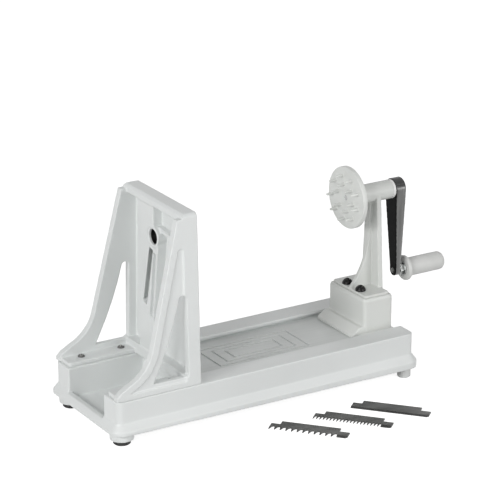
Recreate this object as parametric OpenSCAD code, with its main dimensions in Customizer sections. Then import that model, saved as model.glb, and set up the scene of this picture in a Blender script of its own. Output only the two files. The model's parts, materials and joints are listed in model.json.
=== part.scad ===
// Hand-cranked bench spiralizer: a tray base, a slicing head at one end,
// a crank carriage that slides in the base's rails, and three loose blades.
// Bench axes: X runs from the tray end to the crank, Y 0 is the middle plane, Z 0 is the table.

/* [Base] */
// Length of the base walls
base_len = 401; // [390:1:430]
// Width of the base walls
base_w = 150; // [144:1:170]
// Height of the rail tops above the table
rail_top = 55; // [50:0.5:60]
// Height where the flared skirt meets the walls
skirt_top = 29; // [27:0.5:34]
// Height of the skirt's lower edge at the tray end
skirt_bottom = 16; // [15:0.5:18]
// How much lower the skirt reaches at the crank end
skirt_rake = 4; // [0:0.5:5]
// How far the skirt stands out from the walls
skirt_out = 6.5; // [3:0.5:8]
// Radius of the upright corners
corner_r = 8; // [6:0.5:12]
// Thickness of the moulded walls
wall_t = 4; // [3:0.5:5]
// Width of each rail
rail_w = 29; // [26:0.5:32]
// Thickness of the lip over each rail groove
lip_t = 3.6; // [2.5:0.1:5]
// Height of each rail groove
groove_h = 3.4; // [3:0.1:6]
// Depth of each rail groove under its lip
groove_d = 6; // [4:0.5:9]
// Thickness of the bed
bed_t = 4; // [3:0.5:6]
// Length of the catch tray
tray_len = 98; // [96:0.5:99]
// Width of each ledge beside the tray
ledge_w = 33; // [30:0.5:36]
// Height of the tray floor
tray_floor = 19.5; // [18.5:0.5:23]
// Width of the sill at the tray's open end
sill_w = 11; // [9:0.5:14]
// Height of the sill
sill_top = 26; // [24:0.5:29]

/* [Feet] */
// Diameter of the rubber pads at the tray end
pad_d = 20; // [16:0.5:22]
// Height of the rubber pads
pad_h = 6; // [4:0.5:8]
// Diameter of the moulded studs at the crank end
stud_d = 16; // [12:0.5:20]
// Distance of each rubber pad from the base's end
pad_end = 12; // [10:0.5:18]
// Distance of each rubber pad from the base's side
pad_side = 14; // [10:0.5:18]
// Distance of each stud from the base's end
stud_end = 10; // [9:0.5:16]
// Distance of each stud from the base's side
stud_side = 6; // [5:0.5:12]

/* [Slicing head] */
// Height of the head's top above the table
head_top = 258; // [248:1:272]
// Distance of the cutting face from the tray end
head_front = 108; // [106:0.5:112]
// Thickness of the cutting plate
plate_t = 6; // [5:0.5:8]
// Depth of the bars at the head's top and foot
bar_depth = 19; // [16:0.5:22]
// Height of the top bar
bar_h = 10; // [8:0.5:14]
// Width across the head's top
head_top_w = 136; // [130:1:142]
// Thickness of the side cheeks
cheek_t = 9; // [7:0.5:11]
// Depth of the sunk panel on each cheek
panel_sink = 1.8; // [1:0.1:3]
// Width of the rim left round the sunk panel
panel_rim = 9; // [7:0.5:12]
// Distance of the window's lower corner from the tray end
window_foot = 47.5; // [45:0.5:56]
// Distance of the top of the window's sloping edge from the tray end
window_head = 82.5; // [81:0.5:84]
// How far the sloping edge bows into the window
window_bow = 3; // [1:0.5:5]
// Distance of the window's upright edge behind the cutting face
window_back = 16; // [15:0.5:18]
// Height of the window's sill above the rails
window_sill = 12; // [10:0.5:16]
// Height of the window's top above the rails
window_top = 108.5; // [95:0.5:114]
// Radius of the sweep at each cheek's foot
sweep_r = 50; // [44:1:54]
// Slope of the cheek's rear edge
cheek_slope = 13.6; // [12:0.1:15]
// Distance of the cheek's rear edge behind the cutting face, at the top
cheek_lead = 26; // [24:0.5:30]
// Thickness of the foot flanges
flange_t = 5; // [4:0.5:7]
// Width of the foot flanges
flange_w = 29; // [26:0.5:29.5]
// Diameter of the hole that the core leaves through
core_d = 18.5; // [14:0.5:20]
// Wall of the steel core cutter
core_wall = 0.9; // [0.6:0.1:1.5]
// How far the core cutter stands out of the cutting face
core_reach = 4; // [2:0.5:6]
// Wall of the boss round the core hole
core_boss_wall = 3.1; // [2.5:0.1:4]
// Width of the blade slot
slot_w = 9; // [8:0.5:11]
// Length of the blade slot
slot_len = 73; // [68:0.5:76]
// Tilt of the blade slot from upright
slot_tilt = 12.6; // [10:0.1:15]
// Thickness of the wall over the strand chute
chute_wall = 2; // [1.5:0.5:4]

/* [Blades] */
// Length of each blade
blade_len = 92.5; // [90:0.5:96]
// Width of each blade from its edge to its back
blade_w = 22.5; // [21:0.5:25]
// Thickness of each blade
blade_t = 1.5; // [1:0.1:1.8]
// Width of the end tabs
tab_w = 14; // [12.5:0.5:15]
// Length of the tab at the toothed end
tab_a = 10.5; // [10:0.5:12]
// Length of the plain tab
tab_b = 12.5; // [11:0.5:14]
// Length of the comb teeth
tooth_len = 8; // [6:0.5:9]
// Teeth on the fine comb
fine_teeth = 20; // [16:1:24]
// Teeth on the coarse comb
coarse_teeth = 12; // [9:1:14]
// Turn of the loose blades on the table
blade_turn = -48.5; // [-55:0.5:-42]

/* [Carriage] */
// Length of the sled
sled_len = 58; // [56:1:67]
// How far the sled stands above the rails
sled_rise = 5; // [4:0.5:8]
// Space between the sled and the crank end of the base
sled_end = 6; // [1:0.5:8]
// Length of the pedestal
pedestal_len = 42; // [40:0.5:46]
// Width of the pedestal
pedestal_w = 77; // [72:1:80]
// Height of the pedestal above the sled
pedestal_h = 34; // [26:1:40]
// Radius of the pedestal's upright edges
pedestal_r = 5; // [4.5:0.5:8]
// Thickness of the post's foot plate
foot_plate_t = 3; // [2.5:0.5:5]
// Height of the crank shaft above the table
shaft_z = 212; // [200:1:216]

/* [Post] */
// Thickness of the post's web
web_t = 5; // [4:0.5:8]
// Thickness of the post's rear flange
post_flange_t = 6.5; // [5:0.5:8]
// Width of the rear flange at its foot
post_foot_w = 37; // [32:1:44]
// Width of the rear flange at its top
post_head_w = 23; // [20:1:24]
// Depth of the web at its top
web_top = 10.5; // [9:0.5:14]
// Depth of the web at its foot
web_foot = 36; // [32:0.5:36]
// Height of the web's flared stretch
web_flare = 68; // [50:1:76]
// Outside diameter of the bearing tube
tube_d = 23; // [21:0.5:25]
// Length of the bearing tube
tube_len = 45; // [42:1:50]
// How far the tube reaches behind the post
tube_back = 18.5; // [16:0.5:24]
// Outside diameter of the bushes
bush_d = 16; // [14:0.5:17]
// Length of each bush inside the tube
bush_len = 14; // [10:0.5:18]
// Thickness of the rear bush's flange
bush_flange_t = 3; // [2:0.5:4]

/* [Crank] */
// Diameter of the crank shaft
shaft_d = 10; // [9:0.5:11]
// Side of the square tenons on the shaft
tenon = 7; // [6:0.1:7.5]
// Thickness of the thrust washer
thrust_t = 1.2; // [0.8:0.1:1.4]
// How far the thrust washer stands out past the tube
thrust_rim = 1.5; // [0.5:0.5:3]
// Diameter of the prong disc
disc_d = 75; // [70:1:80]
// Thickness of the prong disc
disc_t = 6; // [5:0.5:8]
// Diameter of the boss behind the prong disc
boss_d = 19; // [17:0.5:22]
// Length of the boss behind the prong disc
boss_len = 9; // [6:0.5:12]
// Length of the prongs
prong_len = 9.5; // [7:0.5:14]
// Diameter of the prongs at their root
prong_d = 4.2; // [3.4:0.1:4.6]
// Prongs on the outer ring
outer_prongs = 9; // [8:1:12]
// Prongs on the inner ring
inner_prongs = 6; // [4:1:7]
// Distance from the shaft to the handle
crank_r = 105; // [90:1:110]
// Radius of the arm's hub
hub_r = 12.5; // [11.5:0.5:14]
// Thickness of the arm at its hub
hub_t = 13.5; // [12:0.5:17]
// Radius of the arm's eye
eye_r = 6.8; // [6:0.1:9]
// Thickness of the arm at its eye
eye_t = 7; // [6:0.5:9]
// How far the eye's outer face lies inside the hub's
eye_set = 1.5; // [0:0.5:4]

/* [Handle] */
// Diameter of the handle's bolt
bolt_d = 8; // [7:0.5:9]
// Diameter of the bolt's thread
thread_d = 6; // [5:0.5:6.5]
// Thickness of the lock nut
nut_t = 5.5; // [4.5:0.5:7]
// Size of the lock nut across its flats
nut_af = 13; // [11:0.5:15]
// Diameter of the grip
grip_d = 22.5; // [20:0.5:26]
// Length of the grip with its flange and cap
grip_len = 57.5; // [50:0.5:70]
// Diameter of the grip's flange
grip_flange_d = 31; // [28:0.5:36]
// Thickness of the grip's flange
grip_flange_t = 6; // [4:0.5:8]
// Length of the rounded cap
cap_len = 6; // [5:0.5:8]

/* [Fits] */
// Gap between a shaft and its bush, on the radius
run_gap = 0.05; // [0.02:0.01:0.1]
// Gap between sliding or facing pieces that move
slide_gap = 0.3; // [0.2:0.05:0.5]
// Gap round screws and seated pieces
seat_gap = 0.1; // [0.05:0.05:0.2]

/* [Hidden] */
$fn = 64;
eps = 0.01;

// Base
half_w = base_w / 2;
skirt_low = skirt_bottom - skirt_rake;
channel_half = half_w - rail_w;
tray_half = half_w - ledge_w;
bed_top = rail_top - lip_t - groove_h;
pad_boss_h = skirt_bottom - pad_h;
pad_boss_d = pad_d + 8;
stud_boss_d = stud_d + 6;
pad_lip_d = pad_d - 6;
skirt_slope = 8.5;
bed_line_w = 2;
bed_line_sink = 1;
foot_chamfer = 1;
bed_lines = [[34, 12], [48, 20], [62, 28]];

// Screws, with the head's proportions as shares of its diameter
head_screw_d = 4;
head_screw_head = 8.5;
head_screw_len = 18;
head_screw_x = [25, 77];
head_screw_y = half_w - 17;
screw_boss_d = 13;
post_screw_d = 6;
post_screw_head = 13;
post_boss_d = post_screw_d + 8;
post_screw_len = 20;
flat_head = 0.32;
tall_head = 0.5;
post_screw_y = 14;
small_screw_d = 3;
small_screw_head = 6.5;
clamp_screw_d = 4;
clamp_screw_head = 10;
clamp_screw_len = plate_t - 1;
clamp_reach = 3.5;
clamp_side = 6;
socket = 0.45;
dome = 0.72;
cross_len = 0.56;
cross_w = 0.1;

// Slicing head
foot_half = half_w - 0.5;
flange_start = 3;
flange_side = foot_half - 0.5;
flange_r = 4;
plate_inset = 0.5;
foot_bar_inset = 1;
bar_cut = 3;
draft = atan((foot_half - head_top_w / 2) / (head_top - rail_top));
plate_back = head_front - plate_t;
bar_back = head_front - bar_depth;
cheek_h = head_top - rail_top - bar_h / 2;
sweep_start = 52;
toe_len = 17;
sweep_top = [head_front - cheek_lead - tan(cheek_slope) * (cheek_h - sweep_start), sweep_start];
sweep_mid = sweep_top + sweep_r * [-cos(cheek_slope), sin(cheek_slope)];
toe = [toe_len, sweep_mid.y - sqrt(pow(sweep_r, 2) - pow(toe_len - sweep_mid.x, 2))];
toe_knee = [toe.x / 3, toe.y * 0.62];
toe_tip = [0, toe.y * 0.3];
panel_shoulder = 160.6;
panel_sill = 7;
blade_cut = 2;
tooth_shape = [[0, 0], [0.16, 0], [0.42, 0.8], [0.7, 1], [0.92, 0.8]];
foot_bar_h = 13;
core_r = core_d / 2;
core_boss_r = core_r + core_boss_wall;
core_inset = 2;
core_edge = 1.5;
core_tip = 0.2;
slot_top = [6.4, shaft_z - 16];
chute_top = 12;
chute_foot = 6;
chute_end = 2;
pad_back = bar_back + 1;
pad_edge = 36;
pad_step = [-10.5, shaft_z - 6];
pad_foot = 8;
groove_top = [-1, shaft_z - 20];
groove_tilt = 7.5;
groove_len = 80;
groove_w = 4.5;
groove_sink = 5;
shelf_z = shaft_z + 13;
shelf_drop = 10;
shelf_t = 5;
shelf_back = pad_back + 4;
shelf_root = pad_step.x + 6;
pocket_sink = blade_t + 0.1;
pocket_shift = 3;
pocket_edge = slot_w / 2 - 2;

// Carriage, in bench X
sled_right = base_len - sled_end;
sled_left = sled_right - sled_len;
sled_floor = bed_top + slide_gap;
sled_top = rail_top + sled_rise;
pedestal_right = sled_right;
pedestal_left = pedestal_right - pedestal_len;
pedestal_top = sled_top + pedestal_h;
toe_r = 2;
toe_front = 4;
toe_run = 11;
toe_side = 1;
tongue_front = 9;
tongue_back = 2;
foot_plate_inset = 4;
pedestal_bevel = 1.5;
pedestal_wall = wall_t + 1;
foot_plate_top = pedestal_top + foot_plate_t;
post_right = pedestal_right - pedestal_bevel;
post_left = post_right - post_flange_t;
web_root = post_right - web_foot;
post_screw_x = pedestal_left + 11;

// Crank line, in bench X
tube_right = post_right + tube_back;
tube_left = tube_right - tube_len;
thrust_left = tube_left - slide_gap - thrust_t;
disc_back = thrust_left - boss_len;
disc_front = disc_back - disc_t;
disc_bevel = 1.2;
outer_inset = 10.8;
outer_turn = -4;
inner_inset = 21.5;
inner_turn = 15;
prong_tip_d = prong_d * 0.7;
disc_screw_len = disc_t + 8;
tenon_len = disc_t - 1.5;
hub_left = tube_right + bush_flange_t + slide_gap;
hub_right = hub_left + hub_t;
eye_z = shaft_z - crank_r;
eye_right = hub_right - eye_set;
eye_left = eye_right - eye_t;
nut_right = eye_right + nut_t;
washer_t = 1.5;
washer_d = nut_af + 5;
grip_left = nut_right + washer_t + slide_gap;
grip_right = grip_left + grip_len;
cap_left = grip_right - cap_len;
grip_neck = 2;
bolt_head_t = 4;
bolt_head_d = 13;
bolt_recess = cap_left - 2 * bolt_head_t;
cap_plug_d = bolt_head_d + 2;
cap_plug_len = 3;
bush_flange_d = tube_d;
shaft_right = hub_right - 5;
crank_screw_len = 14;
bolt_out = 1.5;

// Where the three loose blades lie, by the corner at the toothed end
blade_places = [[283.5, -115], [229.5, -117.5], [171.5, -114.5]];

// The set stands over the middle of its own outline
corner_reach = (blade_len - blade_cut) * sin(-blade_turn);
set_near = min([for (place = blade_places) place.y]) - corner_reach;
set_shift = [-(grip_right - skirt_out) / 2, -(half_w + skirt_out + set_near) / 2, 0];

module in_frame() {
  translate(set_shift) children();
}

// A cylinder along X from x0 to x1
module bar_x(x0, x1, d) {
  translate([x0, 0, 0]) rotate([0, 90, 0]) cylinder(d = d, h = x1 - x0);
}

// A flat outline given in Y and Z, drawn out along X from x0 to x1
module slab_x(x0, x1) {
  translate([x0, 0, 0]) rotate([90, 0, 90]) linear_extrude(x1 - x0) children();
}

// A rectangle from corner a to corner b with round corners
module round_rect(a, b, r) {
  translate([a.x + r, a.y]) square([b.x - a.x - 2 * r, b.y - a.y]);
  translate([a.x, a.y + r]) square([b.x - a.x, b.y - a.y - 2 * r]);
  for (x = [a.x + r, b.x - r], y = [a.y + r, b.y - r]) {
    translate([x, y]) circle(r);
  }
}

module block(a, b) {
  translate(a) cube(b - a);
}

// A pan-head screw along -Z with its head's seat at Z 0, and a cross recess
module pan_screw(d, head_d, length, rise) {
  head_h = head_d * rise;
  dome_r = head_d * dome;
  recess = head_d * [cross_len, cross_w];
  difference() {
    union() {
      intersection() {
        cylinder(d = head_d, h = head_h);
        translate([0, 0, head_h - dome_r]) sphere(dome_r);
      }
      translate([0, 0, -length]) cylinder(d = d, h = length + eps);
    }
    for (turn = [0, 90]) {
      rotate(turn) translate([0, 0, head_h * socket]) linear_extrude(head_h) square(recess, center = true);
    }
  }
}

// A countersunk screw along +X with its flat head at X 0
module flat_screw_x(d, head_d, length) {
  bar_x(0, length, d);
  rotate([0, 90, 0]) cylinder(d1 = head_d, d2 = d, h = (head_d - d) / 2);
}

module at_head_screws() {
  for (x = head_screw_x, side = [-1, 1]) {
    translate([x, side * head_screw_y, rail_top + flange_t]) children();
  }
}

module at_pads() {
  for (side = [-1, 1]) {
    translate([pad_end, side * (half_w - pad_side), 0]) children();
  }
}

module at_studs() {
  for (side = [-1, 1]) {
    translate([base_len - stud_end, side * (half_w - stud_side), 0]) children();
  }
}

// Plan of the base, grown outwards by the given amount
module base_plan(grow) {
  round_rect([-grow, -half_w - grow], [base_len + grow, half_w + grow], corner_r + grow);
}

// Walls and flared skirt, solid, down to the raked lower edge
module base_shell() {
  reach = skirt_out + 1;
  difference() {
    union() {
      hull() {
        translate([0, 0, skirt_low]) linear_extrude(skirt_top - skirt_slope - skirt_low) base_plan(skirt_out);
        translate([0, 0, skirt_top - eps]) linear_extrude(eps) base_plan(0);
      }
      translate([0, 0, skirt_low]) linear_extrude(rail_top - skirt_low) base_plan(0);
    }
    translate([0, half_w + reach, 0]) rotate([90, 0, 0]) linear_extrude(base_w + 2 * reach) polygon([
      [-reach, 0], [base_len + reach, 0], [base_len + reach, skirt_low], [-reach, skirt_bottom]
    ]);
  }
}

// The catch tray, open over its sill at the end
module tray_space() {
  block([sill_w - skirt_out, -tray_half, tray_floor], [tray_len, tray_half, rail_top + 1]);
  block([-skirt_out - 1, -tray_half, sill_top], [tray_len, tray_half, rail_top + 1]);
}

// The bed's channel, with a groove under each rail's lip
module channel_space() {
  end = base_len + skirt_out + 1;
  side = channel_half + groove_d;
  block([tray_len + wall_t - eps, -channel_half, bed_top], [end, channel_half, rail_top + 1]);
  block([head_front, -side, bed_top], [end, side, bed_top + groove_h]);
}

// The hollow under the bed, and one under each ledge round its screw bosses
module underside_space() {
  inner = half_w - wall_t;
  roof = bed_top - bed_t;
  block([tray_len + wall_t, -inner, skirt_low - 1], [base_len - wall_t, inner, roof]);
  for (side = [0, 1]) {
    mirror([0, side, 0]) difference() {
      block([wall_t, tray_half + wall_t, skirt_low - 1], [tray_len, inner, roof]);
      for (x = head_screw_x) {
        translate([x, head_screw_y, 0]) cylinder(d = screw_boss_d, h = rail_top);
      }
    }
  }
}

// Plain nested frames sunk in the bed
module bed_frames() {
  mid_x = (head_front + sled_left) / 2;
  for (frame = bed_lines) {
    translate([mid_x, 0, bed_top - bed_line_sink]) linear_extrude(bed_line_sink + eps) difference() {
      square([2 * frame.x, 2 * frame.y], center = true);
      square(2 * [frame.x - bed_line_w, frame.y - bed_line_w], center = true);
    }
  }
}

// Base: the shell with the tray, the channel and the underside taken out, and bosses for the feet
module base() {
  color("whitesmoke") difference() {
    union() {
      difference() {
        base_shell();
        tray_space();
        channel_space();
        underside_space();
        bed_frames();
      }
      at_pads() translate([0, 0, pad_h]) cylinder(d = pad_boss_d, h = pad_boss_h + wall_t);
      at_studs() translate([0, 0, skirt_bottom]) cylinder(d = stud_boss_d, h = wall_t + 1);
    }
    at_pads() translate([0, 0, pad_h - 1]) cylinder(d = pad_lip_d + 2 * seat_gap, h = pad_boss_h + 1);
    at_studs() {
      cylinder(d = stud_d + 2 * seat_gap, h = skirt_bottom);
      cylinder(d = stud_d / 2 + 2 * seat_gap, h = skirt_bottom + wall_t);
    }
    at_head_screws() translate([0, 0, -head_screw_len - 1]) {
      cylinder(d = head_screw_d + 2 * seat_gap, h = head_screw_len + 2);
    }
  }
}

// A foot with a chamfered lower edge
module foot_end(d, height) {
  cylinder(d1 = d - 2 * foot_chamfer, d2 = d, h = foot_chamfer);
  translate([0, 0, foot_chamfer]) cylinder(d = d, h = height - foot_chamfer);
}

module rubber_pads() {
  color([0.08, 0.08, 0.08]) at_pads() {
    foot_end(pad_d, pad_h);
    cylinder(d = pad_lip_d, h = pad_h + pad_boss_h - 1);
  }
}

module foot_studs() {
  color("gainsboro") at_studs() {
    foot_end(stud_d, skirt_bottom);
    cylinder(d = stud_d / 2, h = skirt_bottom + wall_t - 1);
  }
}

// Outline of a cheek, in X and in height above the rails
module cheek_outline() {
  difference() {
    polygon([
      [0, 1], [head_front, 1], [head_front, cheek_h], [head_front - cheek_lead, cheek_h],
      sweep_top, toe, toe_knee, toe_tip
    ]);
    translate(sweep_mid) circle(sweep_r, $fn = 96);
  }
}

// The sunk panel: inside the cheek's rim, from its sill up to a round apex
module panel_outline() {
  reach = sweep_r + panel_rim;
  bend = sweep_mid + reach * [cos(cheek_slope), -sin(cheek_slope)];
  edge = bend.x + tan(cheek_slope) * (panel_shoulder - bend.y);
  corner = sweep_mid.x + sqrt(pow(reach, 2) - pow(sweep_mid.y - panel_sill, 2));
  apex_r = (bar_back - edge) / 2;
  apex = [for (turn = [0 : 15 : 180]) [edge + apex_r, panel_shoulder] + apex_r * [cos(turn), sin(turn)]];
  difference() {
    polygon(concat([[corner, panel_sill], [bar_back, panel_sill]], apex, [bend]));
    translate(sweep_mid) circle(reach, $fn = 96);
  }
}

// The window: a bowed sloping edge, an upright edge and a round apex
module window_outline() {
  right = head_front - window_back;
  apex_r = (right - window_head) / 2;
  shoulder = window_top - apex_r;
  chord = [window_head - window_foot, shoulder - window_sill];
  length = norm(chord);
  bow_r = pow(length, 2) / (8 * window_bow) + window_bow / 2;
  out = [-chord.y, chord.x] / length;
  mid = [window_foot, window_sill] + chord / 2 + (bow_r - window_bow) * out;
  difference() {
    union() {
      polygon([[window_foot, window_sill], [right, window_sill], [right, shoulder], [window_head, shoulder]]);
      translate([window_head + apex_r, shoulder]) circle(apex_r);
    }
    translate(mid) circle(bow_r, $fn = 128);
  }
}

// The near cheek, leaning in by the draft
module cheek() {
  translate([0, -foot_half, rail_top]) rotate([-draft, 0, 0]) difference() {
    translate([0, cheek_t, 0]) rotate([90, 0, 0]) linear_extrude(cheek_t) difference() {
      cheek_outline();
      window_outline();
    }
    translate([0, panel_sink, 0]) rotate([90, 0, 0]) linear_extrude(panel_sink + 1) {
      panel_outline();
    }
  }
}

// Outline of the head across the base, in Y and Z, with cut top corners
module head_outline(inset) {
  foot = foot_half - inset;
  top = head_top_w / 2 - inset;
  lean = bar_cut * tan(draft);
  polygon([
    [-foot, rail_top], [foot, rail_top], [top + lean, head_top - bar_cut], [top - bar_cut, head_top],
    [bar_cut - top, head_top], [-top - lean, head_top - bar_cut]
  ]);
}

// Top bar, with its upper edges cut off
module top_bar() {
  intersection() {
    translate([0, half_w, 0]) rotate([90, 0, 0]) linear_extrude(base_w) polygon([
      [bar_back, head_top - bar_h], [head_front, head_top - bar_h], [head_front, head_top - bar_cut],
      [head_front - bar_cut, head_top], [bar_back + bar_cut, head_top], [bar_back, head_top - bar_cut]
    ]);
    slab_x(0, head_front + 1) head_outline(0);
  }
}

// Thick land behind the cutting plate, round the slot and the core hole
module throat_pad() {
  top = head_top - bar_h + eps;
  foot = rail_top + foot_bar_h - eps;
  slab_x(pad_back, plate_back + eps) polygon([
    [0, top], [pad_edge, top], [pad_edge, foot], [pad_foot, foot], pad_step, [0, shaft_z + core_boss_r - 1]
  ]);
  bar_x_at_core(bar_back, plate_back + eps, 2 * core_boss_r);
}

module bar_x_at_core(x0, x1, d) {
  translate([0, 0, shaft_z]) bar_x(x0, x1, d);
}

// Shelf over the strand pocket, out to the near cheek
module back_shelf() {
  shelf_end = head_top_w / 2 - cheek_t / 2;
  slab_x(shelf_back, plate_back + eps) polygon([
    [shelf_root, shelf_z], [shelf_root, shelf_z - shelf_t],
    [-shelf_end, shelf_z - shelf_drop - shelf_t], [-shelf_end, shelf_z - shelf_drop]
  ]);
}

// Outline of a blade: edge along the first axis, back towards the second
module blade_outline(teeth) {
  run = blade_len - tab_b;
  pitch = teeth > 0 ? run / teeth : run;
  combed = [for (i = [0 : teeth - 1], point = tooth_shape) [(i + point.x) * pitch, point.y * tooth_len]];
  edge = teeth > 0 ? combed : [[0, 0]];
  polygon(concat(edge, [
    [run, 0], [blade_len - blade_cut, 0], [blade_len, blade_cut], [blade_len, tab_w], [run, tab_w],
    [run, blade_w], [tab_a, blade_w], [tab_a, tab_w], [0, tab_w]
  ]));
}

// Carries a blade's own axes to its seat on the cutting face
module at_seat() {
  translate([0, slot_top.x, slot_top.y]) rotate([slot_tilt, 0, 0]) {
    translate([head_front, pocket_edge, -pocket_shift]) rotate([0, 90, 0]) children();
  }
}

module blade_pocket() {
  grow = 2 * seat_gap;
  at_seat() translate([0, 0, -pocket_sink]) linear_extrude(pocket_sink + 1) {
    translate([-grow, 0]) square([blade_len + 2 * grow, tab_w + grow]);
    translate([tab_a - grow, 0]) square([blade_len - tab_a - tab_b + 2 * grow, blade_w + grow]);
  }
}

module at_clamp_screws() {
  for (along = [tab_a - clamp_side, blade_len - tab_b + clamp_side]) {
    at_seat() translate([along, tab_w + clamp_reach, 0]) children();
  }
}

module blade_slot() {
  translate([0, slot_top.x, slot_top.y]) rotate([slot_tilt, 0, 0]) {
    block([bar_back - 5, -slot_w / 2, -slot_len], [head_front + 1, slot_w / 2, 0]);
  }
}

// Hollow in the throat pad that the strands cross on their way to the slot's rear mouth
module strand_chute() {
  side = slot_w / 2;
  low = chute_end - slot_len;
  translate([0, slot_top.x, slot_top.y]) rotate([slot_tilt, 0, 0]) slab_x(pad_back + chute_wall, plate_back) {
    polygon([[0, -chute_end], [side + chute_top, -chute_end], [side + chute_foot, low], [0, low]]);
  }
}

module pad_groove() {
  translate([pad_back, groove_top.x, groove_top.y]) rotate([groove_tilt, 0, 0]) {
    block([-1, -groove_w / 2, -groove_len], [groove_sink, groove_w / 2, 0]);
  }
}

// Head: cheeks on their flanges, cutting plate with its foot in the channel, and the bars and pad behind it
module slicing_head() {
  plate_foot = channel_half - seat_gap;
  color("white") difference() {
    union() {
      for (side = [0, 1]) {
        mirror([0, side, 0]) {
          cheek();
          translate([0, 0, rail_top]) linear_extrude(flange_t) {
            round_rect([flange_start, -flange_side], [head_front, flange_w - foot_half], flange_r);
          }
        }
      }
      slab_x(plate_back, head_front) head_outline(plate_inset);
      block([plate_back, -plate_foot, bed_top], [head_front, plate_foot, rail_top + 1]);
      slab_x(bar_back, plate_back + eps) intersection() {
        head_outline(foot_bar_inset);
        translate([-half_w, rail_top]) square([base_w, foot_bar_h]);
      }
      top_bar();
      throat_pad();
      back_shelf();
    }
    bar_x_at_core(0, head_front + 1, core_d);
    blade_slot();
    strand_chute();
    blade_pocket();
    pad_groove();
    at_head_screws() translate([0, 0, -flange_t - 1]) {
      cylinder(d = head_screw_d + 2 * seat_gap, h = flange_t + 2);
    }
    at_clamp_screws() translate([0, 0, -clamp_screw_len]) {
      cylinder(d = clamp_screw_d + 2 * seat_gap, h = clamp_screw_len + 1);
    }
  }
}

module head_screws() {
  color("dimgray") at_head_screws() pan_screw(head_screw_d, head_screw_head, head_screw_len, flat_head);
}

module clamp_screws() {
  shank = clamp_screw_len - seat_gap;
  color("silver") at_clamp_screws() pan_screw(clamp_screw_d, clamp_screw_head, shank, flat_head);
}

// Thin steel tube in the core hole, sharpened where it meets the vegetable
module core_cutter() {
  outer = core_r - seat_gap / 2;
  inner = core_r - core_wall;
  back = pad_back + core_inset;
  run = head_front + core_reach - back;
  color("silver") translate([back, 0, shaft_z]) rotate([0, 90, 0]) rotate_extrude() polygon([
    [inner, 0], [outer, 0], [outer, run - core_edge], [inner + core_tip, run], [inner, run]
  ]);
}

module straight_blade() {
  color([0.3, 0.3, 0.31]) loose_blade(0, 0);
}

module fine_comb_blade() {
  color([0.3, 0.3, 0.31]) loose_blade(1, fine_teeth);
}

module coarse_comb_blade() {
  color([0.3, 0.3, 0.31]) loose_blade(2, coarse_teeth);
}

module loose_blade(index, teeth) {
  translate(blade_places[index]) rotate(blade_turn) linear_extrude(blade_t) blade_outline(teeth);
}

// Plan of the sled's toe, drawn in from its front and its sides
module toe_plan(front, sides) {
  half = pedestal_w / 2 - sides;
  round_rect([sled_left + front, -half], [pedestal_left + pedestal_r + toe_r, half], toe_r);
}

// Sled with a sloping toe and tongues under the rail lips, and the pedestal that carries the post
module carriage() {
  tongue_half = channel_half + groove_d - slide_gap;
  toe_rise = sled_floor + toe_front;
  shoulder = pedestal_top - 2 * pedestal_bevel;
  color("gainsboro") difference() {
    union() {
      translate([0, 0, sled_floor]) linear_extrude(toe_rise - sled_floor) toe_plan(0, 0);
      hull() {
        translate([0, 0, toe_rise - eps]) linear_extrude(eps) toe_plan(0, 0);
        translate([0, 0, sled_top - eps]) linear_extrude(eps) toe_plan(toe_run, toe_side);
      }
      block(
        [sled_left + tongue_front, -tongue_half, sled_floor],
        [sled_right - tongue_back, tongue_half, bed_top + groove_h - slide_gap]
      );
      translate([0, 0, sled_floor]) linear_extrude(shoulder - sled_floor) pedestal_plan(0);
      hull() {
        translate([0, 0, shoulder - eps]) linear_extrude(eps) pedestal_plan(0);
        translate([0, 0, pedestal_top - eps]) linear_extrude(eps) pedestal_plan(pedestal_bevel);
      }
    }
    difference() {
      translate([0, 0, sled_floor - 1]) linear_extrude(shoulder - sled_floor) pedestal_plan(pedestal_wall);
      at_post_screws() translate([0, 0, -pedestal_top]) cylinder(d = post_boss_d, h = pedestal_top);
    }
    at_post_screws() translate([0, 0, -post_screw_len - 1]) {
      cylinder(d = post_screw_d + 2 * seat_gap, h = post_screw_len + 2);
    }
  }
}

// Plan of the pedestal, drawn in by the given amount
module pedestal_plan(inset) {
  half = pedestal_w / 2 - inset;
  round_rect([pedestal_left + inset, -half], [pedestal_right - inset, half], pedestal_r - min(inset, 3));
}

module at_post_screws() {
  for (side = [-1, 1]) {
    translate([post_screw_x, side * post_screw_y, foot_plate_top]) children();
  }
}

// Post: foot plate, web with a swept front edge, tapered rear flange and bearing tube
module crank_post() {
  rise = shaft_z - foot_plate_top;
  spread = web_foot - web_top;
  flare_r = (pow(spread, 2) + pow(web_flare, 2)) / (2 * spread);
  color("gainsboro") difference() {
    union() {
      translate([0, 0, pedestal_top]) linear_extrude(foot_plate_t) pedestal_plan(foot_plate_inset);
      translate([0, web_t / 2, foot_plate_top]) rotate([90, 0, 0]) linear_extrude(web_t) difference() {
        polygon([
          [web_root, -1], [post_right, -1], [post_right, rise], [post_right - web_top, rise],
          [post_right - web_top, web_flare], [web_root, 0]
        ]);
        translate([post_right - web_top - flare_r, web_flare]) circle(flare_r, $fn = 128);
      }
      slab_x(post_left, post_right) polygon([
        [-post_foot_w / 2, pedestal_top], [post_foot_w / 2, pedestal_top],
        [post_head_w / 2, shaft_z], [-post_head_w / 2, shaft_z]
      ]);
      bar_x_at_core(tube_left, tube_right, tube_d);
    }
    bar_x_at_core(tube_left - 1, tube_right + 1, bush_d);
    at_post_screws() translate([0, 0, -foot_plate_t - 1]) {
      cylinder(d = post_screw_d + 2 * seat_gap, h = foot_plate_t + 2);
    }
  }
}

module post_screws() {
  color([0.12, 0.12, 0.12]) at_post_screws() {
    pan_screw(post_screw_d, post_screw_head, post_screw_len, tall_head);
  }
}

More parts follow.
